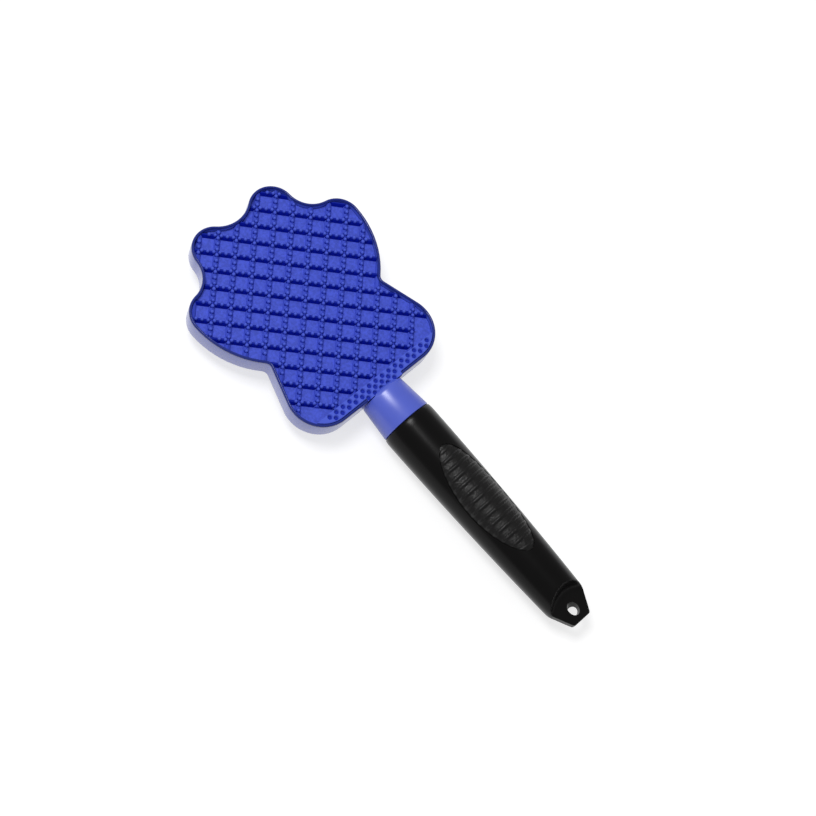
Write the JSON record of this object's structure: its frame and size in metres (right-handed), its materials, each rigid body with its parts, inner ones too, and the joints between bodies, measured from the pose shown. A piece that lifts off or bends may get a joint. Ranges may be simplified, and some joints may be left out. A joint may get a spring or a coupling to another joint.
{
  "type": "wheel brush",
  "caption": "Hand brush for car wheels: a shaped head with a rubber scrubbing pad of pockets and nubs, a short neck and a round grip with a ribbed inlay and a hang hole.",
  "frame": {"origin": "under the middle of the whole brush, on the plane that the grip's fattest ring touches", "axes": "+X across the head to the right seen from the scrubbing side, +Y along the handle from the hang tab to the toes of the head, +Z out of the scrubbing pad"},
  "size_m": [0.1316, 0.3248, 0.0353],
  "materials": {
    "pad_rubber": "satin moulded rubber",
    "foam": "closed-cell foam",
    "frame_plastic": "glossy",
    "cover_plastic": "satin",
    "collar_plastic": "glossy",
    "grip_plastic": "satin black",
    "inlay_rubber": "matt black",
    "screw_steel": "zinc plated"
  },
  "bodies": {
    "root": {"back_cover": "cover_plastic", "cover_screw_1": "screw_steel", "cover_screw_2": "screw_steel", "cover_screw_3": "screw_steel", "cover_screw_4": "screw_steel", "cover_screw_5": "screw_steel", "cover_screw_6": "screw_steel", "foam_cushion": "foam", "grip": "grip_plastic", "grip_inlay": "inlay_rubber", "handle_screw": "screw_steel", "head_frame": "frame_plastic", "neck_collar": "collar_plastic", "scrub_pad": "pad_rubber"}
  },
  "joints": []
}
